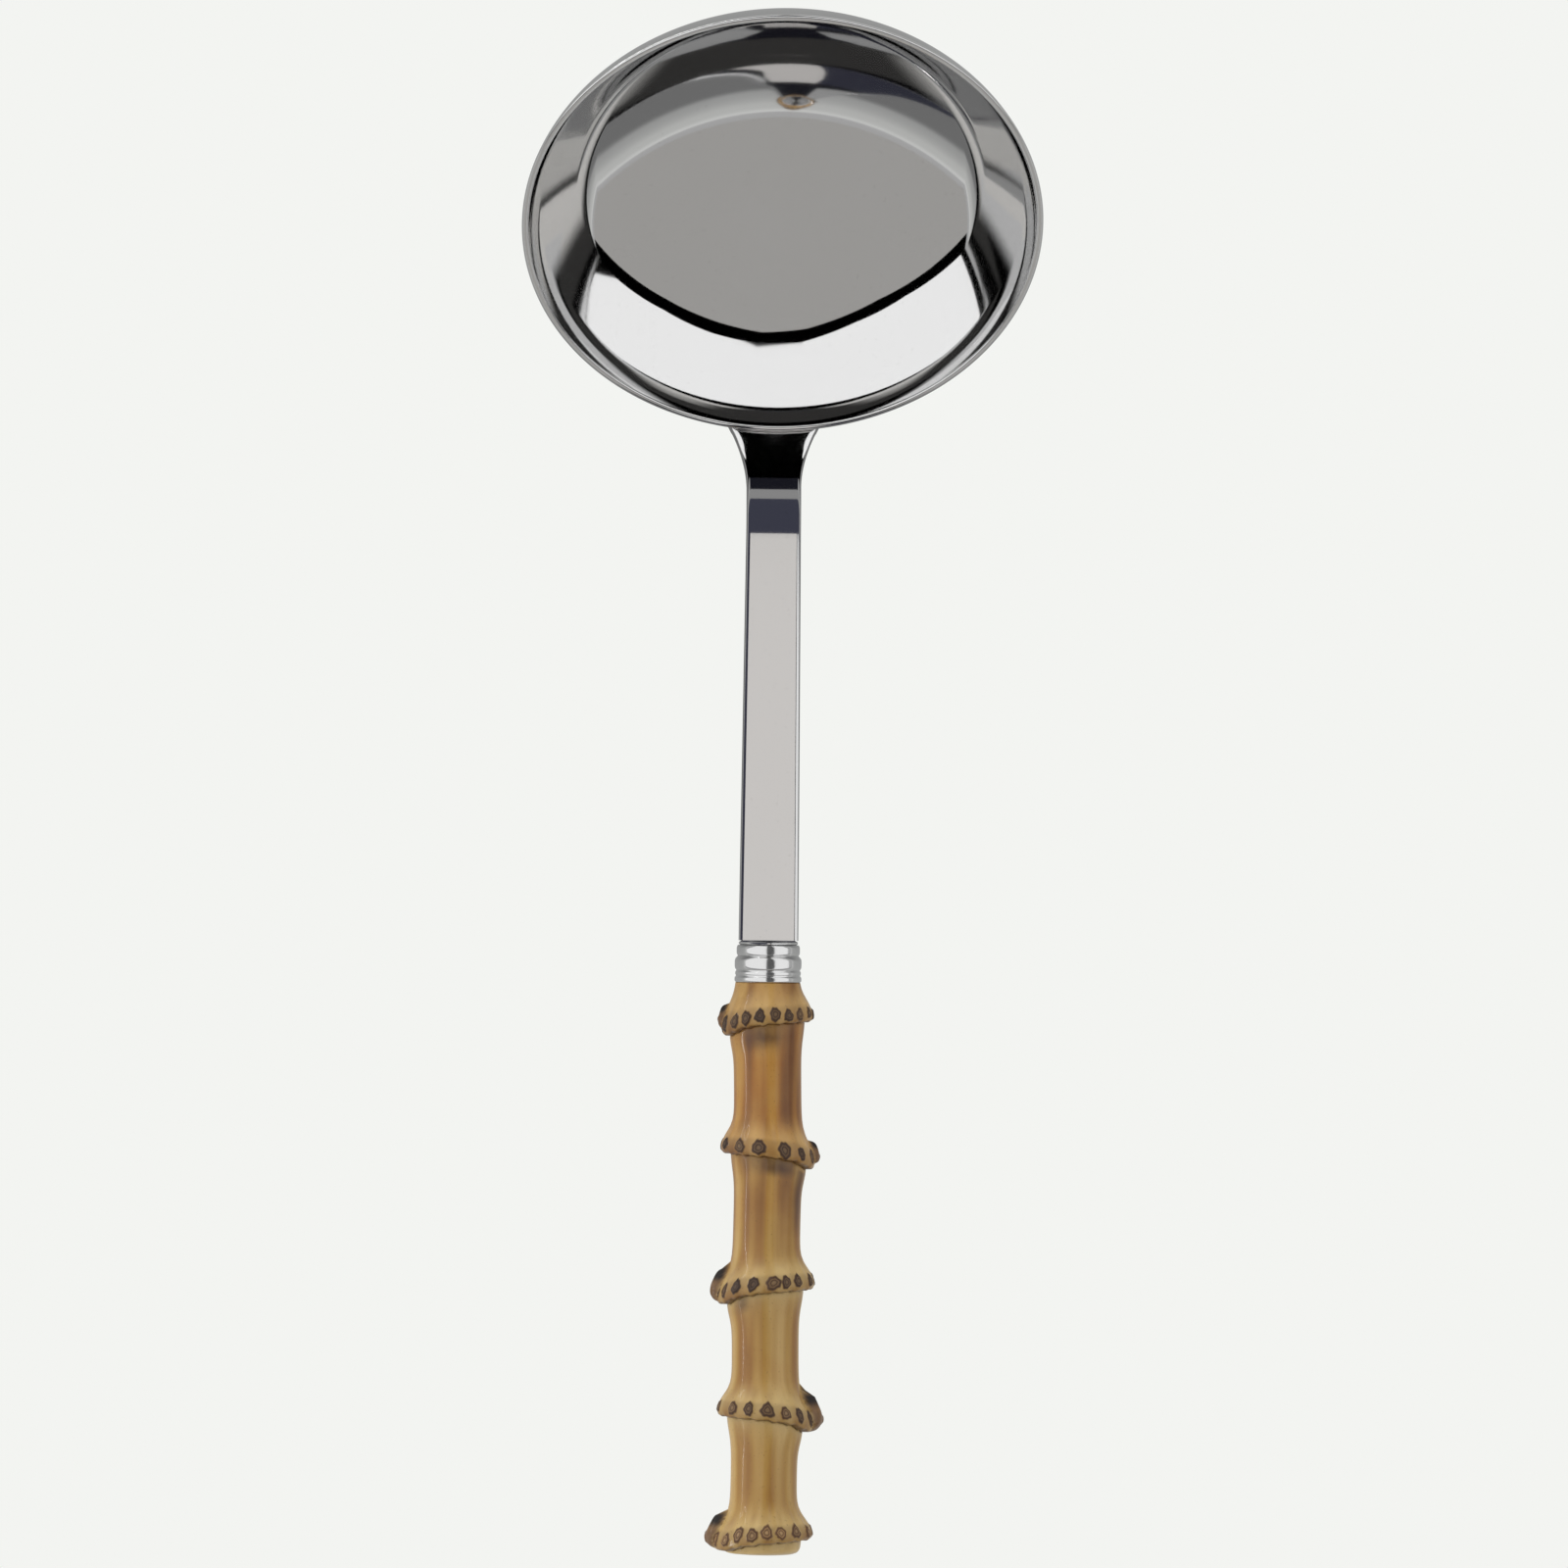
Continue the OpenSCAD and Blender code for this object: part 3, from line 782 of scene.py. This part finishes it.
def scar_reach(i, above, angle, up, half_w, half_h):
    """Distance to the nearest root scar, 1 at its edge and 2 at most, and that scar's number.

    The distance is that of an ellipse which narrows upward, times slow waves round the scar.
    """
    rise = (above[:, :, None] - up) / half_h
    narrow = half_w * (1 - 0.15 * np.clip(rise, 0, 1))
    aside = wrapped(RIGHT[None, :, None] - angle) * KNOT_R[i] / narrow
    bearing = np.arctan2(rise, aside) + 9 * angle
    uneven = 1 + 0.08 * np.sin(3 * bearing) + 0.06 * np.sin(7 * bearing)
    reach = np.sqrt(aside**2 + rise**2) * uneven
    return np.minimum(reach.min(-1), 2), reach.argmin(-1)


def scar_relief(reach, lift):
    """Height of a root scar: a raised ring at its edge, a crater with a small core, and its own lift."""
    ring = 0.17 * bell(reach - 0.82, 0.24) - 0.24 * bell(reach, 0.55) + 0.16 * bell(reach, 0.24)
    return ring + lift * step(1.0, 0.5, reach)


def bud_reach(i, above):
    """Distance from the middle of a knot's bud, 1 at its edge, and the height on it, -1 to 1 end to end.

    An ellipse below the middle, and blunt above it through the height to the sixth.
    """
    towards = wrapped(THETA - (0 if BUD_SIDE[i] > 0 else math.pi)) * KNOT_R[i]
    climb = (above - BUD_UP - 0.6 * BUD_R[i]) / (1.5 * BUD_R[i])
    wide = BUD_R[i] * (1.02 - 0.3 * np.clip(climb, -1, 1))
    return np.sqrt((towards / wide) ** 2 + np.where(climb > 0, climb**6, climb**2)), climb


def stain_depth(i, below):
    """Stains under the knot above a joint: bells round the root that begin and end softly."""
    deepest = np.zeros((len(below), COLUMNS))
    for knot, at, spread, start, length, depth in STAINS:
        if knot == i - 1:
            sideways = bell(wrapped(RIGHT - math.radians(at)), math.radians(spread))
            begun = step(start - 0.4, start + 0.3, below)
            ended = step(start + length * 1.3, start + length * 0.5, below)
            deepest = np.maximum(deepest, depth * sideways * (begun * ended))
    return deepest


def build_handle(material):
    """Bamboo root: joints between slanted ledges, every row running along the ledges at its ends.

    Radius is the joint's flare plus rings and craters of the root scars, the buds, and the ledge steps.
    """
    rng = np.random.default_rng(7)
    wave = rng.uniform(0, TURN, (len(SCARS), 3))
    ledge = ledge_levels(wave)
    roots = [roots_of(i, rng) for i in range(len(SCARS))]
    rows, marks = [], {"root": [], "tone": [], "bud": []}

    def add(radius, z, root, tone, bud):
        """Rows of points round the swaying middle line, and three values of each mark."""
        sway = np.interp(z, SWAY_AT, SWAY_BY)
        rows.append(np.stack([radius * np.cos(THETA) + sway, radius * np.sin(THETA), z], -1))
        for title, values in (("root", root), ("tone", tone), ("bud", bud)):
            marks[title].append(np.stack(np.broadcast_arrays(*values, z)[:3], -1))

    tenon_r = CAVITY_R - TENON_PLAY
    level = np.array([TANG_LEN + BORE_PAST, -TENON_H, -TENON_H, -0.3, -0.02])[:, None] + 0 * THETA
    radius = np.array([BORE_R, BORE_R, tenon_r, tenon_r, CAVITY_R])[:, None] + 0 * THETA
    blank = np.zeros_like(level)
    add(radius, level, (blank + 1, blank, blank), (blank, blank, blank), (blank, blank, blank))
    for i in range(len(SCARS) + 1):
        tail = i == len(SCARS)
        top = SCARS[i - 1] if i else 0.0
        low = HANDLE_LEN if tail else SCARS[i]
        share = (np.linspace(0, 1, 14) if tail else joint_shares(low - top))[:, None]
        level = top + share * (low - top)
        below, above = level - top, low - level
        upper = ledge[i - 1] if i else 0 * THETA
        lower = HANDLE_LEN + 0 * THETA if tail else ledge[i]
        z = (1 - share) * upper + share * lower
        z = z + np.where((i > 0) & (share == 0), LEDGE_GAP, 0.0)
        radius = joint_r(i, level) + 0 * THETA
        first, _, third = wave[i % len(SCARS)]
        radius += radius * (0.010 * np.cos(2 * THETA + third) + 0.006 * np.cos(3 * THETA + 2 * first))
        blank = np.zeros_like(z)
        ring, hue, dark, swell, char, end = blank + 1, blank, blank, blank, blank, blank
        flare = PALE_HEADS[i] * np.exp(-below / PALE_RUN) + blank
        if i > 0:
            radius -= groove(below, *GROOVE_BELOW)
            dark = np.maximum(dark, bell(below, 0.2))
        if tail:
            back = np.clip(TAIL_EDGE - above, 0, TAIL_EDGE)
            radius -= TAIL_STEP + TAIL_EDGE - np.sqrt(TAIL_EDGE**2 - back**2)
            flare = np.maximum(flare, 0.8)
            end = step(0.7, 0.0, above) + blank
        else:
            flare = np.maximum(flare, 0.6 * bell(above - 3.6, 2.4))
            collar = np.clip(1 - above / COLLAR_UP, 0, 1)
            radius -= groove(above, *GROOVE_ABOVE) + COLLAR_IN * (1 - np.sqrt(1 - 0.96 * collar**2))
            dark = np.maximum(dark, 0.9 * bell(above, 0.22))
            dark = np.maximum(dark, 0.3 * step(3.9, 2.9, above))
            *scars, tan, lift = roots[i]
            reach, nearest = scar_reach(i, above, *scars)
            radius += scar_relief(reach, lift[nearest])
            away, climb = bud_reach(i, above)
            radius += (0.95 + 0.15 * climb) * BUD_R[i] * np.sqrt(np.clip(1 - away**2, 0, 1))
            swell = step(1.08, 0.9, away)
            char = swell * step(0.0, 0.5, climb)
            ring, hue = np.where(away < 1.0, 1.0, reach / 2), tan[nearest]
        stain = stain_depth(i, below)
        warm = step(PALE_FROM, BROWN_TO, z) * (0.45 if i == 0 else 0.75 + 0.25 * step(0.1, 0.5, share))
        add(radius, z, (ring, hue, dark), (flare, stain, warm), (swell, char, end))
    middle = np.array([SWAY[-1], 0, HANDLE_LEN])
    fade = np.array([0.8, 0.55, 0.3])[:, None, None]
    rows.append(middle + fade * (rows[-1][-1] - middle))
    for title, values in (("root", (1, 0, 0)), ("tone", (0, 0, 0.3)), ("bud", (0, 0, 1))):
        marks[title].append(np.broadcast_to(np.array(values, float), (len(fade), COLUMNS, 3)))
    surface = np.concatenate(rows)
    table = (-ORIGIN[2] / MM - surface[..., 2] * DOWN[2]) / UP[2]
    surface[..., 1] = np.maximum(surface[..., 1], table)
    skin = shell(surface, np.array([0, 0, TANG_LEN + BORE_PAST]), middle)
    painted_on = {title: np.concatenate(store) for title, store in marks.items()}
    piece("root_handle", [skin], "handle", material, painted_on, sharp=60)


BOWL_STEEL = make_steel("polished_bowl_steel", 0.70, 0.05, 0.02, 0.02)
STEM_STEEL = make_steel("polished_stem_steel", 0.72, 0.05, 0.03, 0.04)
FERRULE_STEEL = make_steel("polished_ferrule_steel", 0.72, 0.16, 0.03, 0.03)
BAMBOO = make_bamboo()
build_bowl(BOWL_STEEL)
build_weld(STEM_STEEL)
build_stem(STEM_STEEL)
build_ferrule(FERRULE_STEEL)
build_handle(BAMBOO)
cement = frame["nodes"]["tang_cement"]
cement.data.materials.clear()
cement.data.materials.append(make_resin())


# Studio

# Places along the ladle where the bowl ends and where the ferrule and the root begin, and the height
# of the ferrule's face over the table, in metres.
NECK, GRIP, ROOT, FACE_UP = 0.068, -0.0302, -0.0395, 0.0155
# Half the width of the table and of the largest boards, in metres.
FAR = 30
# Heights of the boards over the table, in metres. A lower board hides those above it.
BLACK_UP, GREY_UP, WHITE_UP = 1.24, 1.23, 1.20
HANDLE_UP, STRIPE_UP, STEM_UP = 1.18, 1.17, 1.15
GRIP_UP, SOUTH_UP, LINE_UP = 1.11, 1.10, 1.09
# Left edge, near edge and far edge of the boards over the stem, and the edges of the neck's light.
STEM_LEFT, STEM_NEAR, STEM_FAR = -0.12, -1.2, 0.09
NECK_NEAR, NECK_FAR = 0.76, 1.02
# Edges of the dark strip over the grip, and the right end of the light one beside it.
GRIP_LEFT, GRIP_RIGHT, GRIP_END = -0.15, 0.42, 4
# Tints of the boards.
WHITE, CREAM = (1, 1, 1, 1), (1.02, 1.0, 0.965, 1)
WARM, NAVY = (1.02, 0.985, 0.955, 1), (0.8, 0.83, 1.2, 1)
# Ray Depth from which a board shows in a reflection of a reflection. The background counts one more.
SECOND, THIRD = (1.4, 1.6), (2.4, 2.6)
# The camera: roll and turn, distance to its aim in metres, lens and sensor in millimetres.
CAMERA_ROLL, CAMERA_TURN = math.radians(2.2), math.radians(-0.72)
CAMERA_AIM, CAMERA_AWAY = Vector((0.00265, 0.0012, 0.010)), 2.0
CAMERA_LENS, CAMERA_SENSOR = 236.2, 36


def ray_part(tree, key):
    """x, y and z of the place where a ray meets a board, or of the direction back along the ray."""
    vector = put(tree, "ShaderNodeNewGeometry").outputs[key]
    return put(tree, "ShaderNodeSeparateXYZ", {0: vector}).outputs


def running_across(tree, least, along=0.0, across=1.0):
    """The first value for rays that run along the ladle, the second for those that run across it."""
    back = ray_part(tree, "Incoming")
    return remap(tree, math_node(tree, "ABSOLUTE", back[0]), least, 0.5, along, across)


def make_side_mask():
    """1 where the ray that meets a board comes from beyond a border, on the bowl's side of it.

    The ray is followed back from the board to the ferrule's height, and its place along the ladle
    is compared with the border.
    """
    tree, entry, leave = new_group(
        "seen_from_bowl",
        [("Border", "NodeSocketFloat", 0.0)],
        [("Mask", "NodeSocketFloat")],
    )
    at, back = ray_part(tree, "Position"), ray_part(tree, "Incoming")
    lean = math_node(tree, "DIVIDE", back[1], back[2])
    drop = math_node(tree, "SUBTRACT", at[2], FACE_UP)
    start = math_node(tree, "SUBTRACT", at[1], math_node(tree, "MULTIPLY", lean, drop))
    set_inputs(tree, leave, {"Mask": math_node(tree, "GREATER_THAN", start, entry.outputs["Border"])})
    return tree


SIDE_MASK = make_side_mask()


def oblong(left, right, near=-FAR, far=FAR):
    """Corners of a rectangle."""
    return [(left, near), (right, near), (right, far), (left, far)]


def flat_piece(name, corners, height, material):
    """Flat piece of the stage at a height over the table."""
    mesh = bpy.data.meshes.new(name)
    mesh.from_pydata([(x, y, height) for x, y in corners], [], [range(len(corners))])
    mesh.materials.append(material)
    made = bpy.data.objects.new(name, mesh)
    bpy.context.scene.collection.objects.link(made)
    return made


def board(name, corners, height, strength, border=None, deep=None, tint=WHITE):
    """Flat glowing or black board above the table, seen only in reflections and as light.

    A board with a border is clear to rays from beyond it, so that bowl and handle have their own boards.
    The strengths called deep are those that a reflection of a reflection shows, along and across the ladle.
    """
    material = bpy.data.materials.new(name)
    material.use_nodes = True
    tree = material.node_tree
    tree.nodes.clear()
    glow = put(tree, "ShaderNodeEmission", {"Color": tint, "Strength": strength})
    if deep is not None:
        depth = put(tree, "ShaderNodeLightPath").outputs["Ray Depth"]
        again = remap(tree, depth, *SECOND, strength, running_across(tree, 0.3, *deep))
        set_inputs(tree, glow, {"Strength": again})
    surface = glow
    if border is not None:
        mask = group(tree, SIDE_MASK, Border=border)["Mask"]
        clear = put(tree, "ShaderNodeBsdfTransparent")
        surface = put(tree, "ShaderNodeMixShader", {0: mask, 1: glow.outputs[0], 2: clear.outputs[0]})
    put(tree, "ShaderNodeOutputMaterial", {"Surface": surface.outputs[0]})
    made = flat_piece(name, corners, height, material)
    made.visible_camera = False
    made.visible_shadow = False


def lamp(name, at, size, watts):
    """Square soft light, aimed at the ladle's middle, that shines on matt surfaces only."""
    light = bpy.data.lights.new(name, "AREA")
    light.size, light.energy = size, watts
    made = bpy.data.objects.new(name, light)
    made.location = at
    made.rotation_euler = (-Vector(at)).to_track_quat("-Z", "Y").to_euler()
    made.visible_glossy = False
    bpy.context.scene.collection.objects.link(made)


def make_floor():
    """Plain pale table top that only glows, so that it shows no shadow, and looks dimmer in reflections.

    In reflections it carries a painted shadow of the bowl, darkest in an oval round the ladle, and it gets
    lighter with the distance. In a reflection of a reflection along the ladle it is painted near black, as
    shade.
    """
    material, tree, shader = new_material("pale_table")
    path = put(tree, "ShaderNodeLightPath").outputs
    once = remap(tree, path["Ray Depth"], *SECOND, 1.0, 0.0)
    lit = math_node(tree, "MAXIMUM", running_across(tree, 0.25), once)
    where = put(tree, "ShaderNodeTexCoord").outputs["Object"]
    away = vector_node(tree, "DISTANCE", where, (0.0, 0.1, 0.0))["Value"]
    moved = vector_node(tree, "SUBTRACT", where, (0.0, 0.03, 0.0))[0]
    oval = vector_node(tree, "MULTIPLY", moved, (11.0, 16.0, 0.0))[0]
    reach = vector_node(tree, "LENGTH", oval)["Value"]
    table = mix(tree, remap(tree, away, 0.02, 0.4), (0.36, 0.364, 0.36, 1), (0.60, 0.605, 0.59, 1))
    table = mix(tree, remap(tree, away, 0.4, 2.0), table, (0.76, 0.765, 0.75, 1))
    # Painted shadow of the bowl on the table, seen only in reflections: a dark oval round the ladle.
    table = mix(tree, remap(tree, reach, 0.6, 1.1), (0.2, 0.2, 0.2, 1), table)
    # Painted shade: a reflection of a reflection that runs along the ladle sees the table near black.
    mirrored = mix(tree, lit, (0.05, 0.05, 0.056, 1), table)
    glow = mix(tree, path["Is Glossy Ray"], (0.896, 0.905, 0.88, 1), mirrored)
    set_inputs(
        tree,
        shader,
        {
            "Base Color": (0.0, 0.0, 0.0, 1),
            "Roughness": 0.9,
            "Specular IOR Level": 0.0,
            "Emission Color": glow,
            "Emission Strength": 1.0,
        },
    )
    flat_piece("pale_table", oblong(-FAR, FAR), 0.0, material)


def make_world():
    """Dim surroundings for the reflections, and a pale background for the camera."""
    world = bpy.data.worlds.new("studio")
    world.use_nodes = True
    tree = world.node_tree
    tree.nodes.clear()
    path = put(tree, "ShaderNodeLightPath").outputs
    again = remap(tree, path["Ray Depth"], *THIRD)
    around = mix(tree, again, (0.5, 0.5, 0.5, 1), (0.05, 0.05, 0.06, 1))
    colour = mix(tree, path["Is Camera Ray"], around, (0.90, 0.905, 0.88, 1))
    back = put(tree, "ShaderNodeBackground", {"Color": colour, "Strength": 1.0})
    put(tree, "ShaderNodeOutputWorld", {"Surface": back.outputs[0]})
    bpy.context.scene.world = world


def make_camera():
    """Camera two metres over the table, rolled a little to the left and turned in its own plane."""
    right = Vector((math.cos(CAMERA_ROLL), 0, math.sin(CAMERA_ROLL)))
    ahead = Vector((math.sin(CAMERA_ROLL), 0, -math.cos(CAMERA_ROLL)))
    up = Vector((0, 1, 0))
    across = right * math.cos(CAMERA_TURN) - up * math.sin(CAMERA_TURN)
    above = right * math.sin(CAMERA_TURN) + up * math.cos(CAMERA_TURN)
    view = bpy.data.cameras.new("camera")
    view.lens, view.sensor_width = CAMERA_LENS, CAMERA_SENSOR
    view.clip_end = 100
    made = bpy.data.objects.new("camera", view)
    matrix = Matrix((across, above, -ahead)).transposed().to_4x4()
    matrix.translation = CAMERA_AIM - CAMERA_AWAY * ahead
    made.matrix_world = matrix
    bpy.context.scene.collection.objects.link(made)
    bpy.context.scene.camera = made


# Edges of the bent boards that the bowl mirrors, from the left to the right.
GREY_EDGE = [(-30, -13), (-1.9, -0.9), (-0.8, -0.45), (-0.2, 0.04), (0.15, 0.13), (0.5, -0.02)]
GREY_EDGE += [(1.1, -0.3), (30, -10), (FAR, -FAR), (-FAR, -FAR)]
WHITE_EDGE = [(-12, 1.16), (-12, -2.9), (-1.35, -0.24), (-0.65, 0.1), (-0.2, 0.46), (0.2, 0.49)]
WHITE_EDGE += [(0.65, 0.38), (1.3, 0.12), (12, -1.5), (12, 1.16)]

make_floor()
make_world()
board("black_ceiling", oblong(-FAR, FAR), BLACK_UP, 0.0, deep=(0.0, 0.8))
board("grey_ceiling", GREY_EDGE, GREY_UP, 0.44, deep=(0.05, 0.85), tint=CREAM)
board("white_board", WHITE_EDGE, WHITE_UP, 1.15)
board("handle_grey", oblong(-FAR, FAR), HANDLE_UP, 0.42, NECK)
board("handle_black", oblong(-0.5, 0.5), STRIPE_UP, 0.015, NECK, tint=NAVY)
board("stem_board", oblong(STEM_LEFT, 0.13, STEM_NEAR, STEM_FAR), STEM_UP, 0.78, NECK, tint=WARM)
board("left_board", oblong(-6.5, STEM_LEFT, STEM_NEAR, STEM_FAR), STEM_UP, 0.06, NECK, tint=NAVY)
board("right_board", oblong(0.22, 6.5, STEM_NEAR, STEM_FAR), STEM_UP, 1.0, NECK)
board("neck_dark", oblong(-3, 3, STEM_FAR, NECK_NEAR), STEM_UP, 0.07, NECK, tint=NAVY)
board("neck_board", oblong(-3, 3, NECK_NEAR, NECK_FAR), STEM_UP, 0.32, NECK)
board("grip_left", oblong(-FAR, GRIP_LEFT), GRIP_UP, 1.05, GRIP)
board("grip_dark", oblong(GRIP_LEFT, GRIP_RIGHT), GRIP_UP, 0.10, GRIP)
board("grip_right", oblong(GRIP_RIGHT, GRIP_END), GRIP_UP, 1.05, GRIP)
board("grip_edge", oblong(GRIP_END, FAR), GRIP_UP, 0.45, GRIP)
board("grip_south", oblong(-FAR, FAR, -FAR, -1.4), SOUTH_UP, 0.35, GRIP)
board("grip_line", oblong(-9, -7), LINE_UP, 14.0, ROOT)
lamp("soft_key", (-0.7, 1.0, 1.0), 1.2, 3)
lamp("soft_fill", (1.1, 0.3, 1.5), 1.6, 1)
make_camera()
bpy.context.scene.view_settings.view_transform = "Standard"
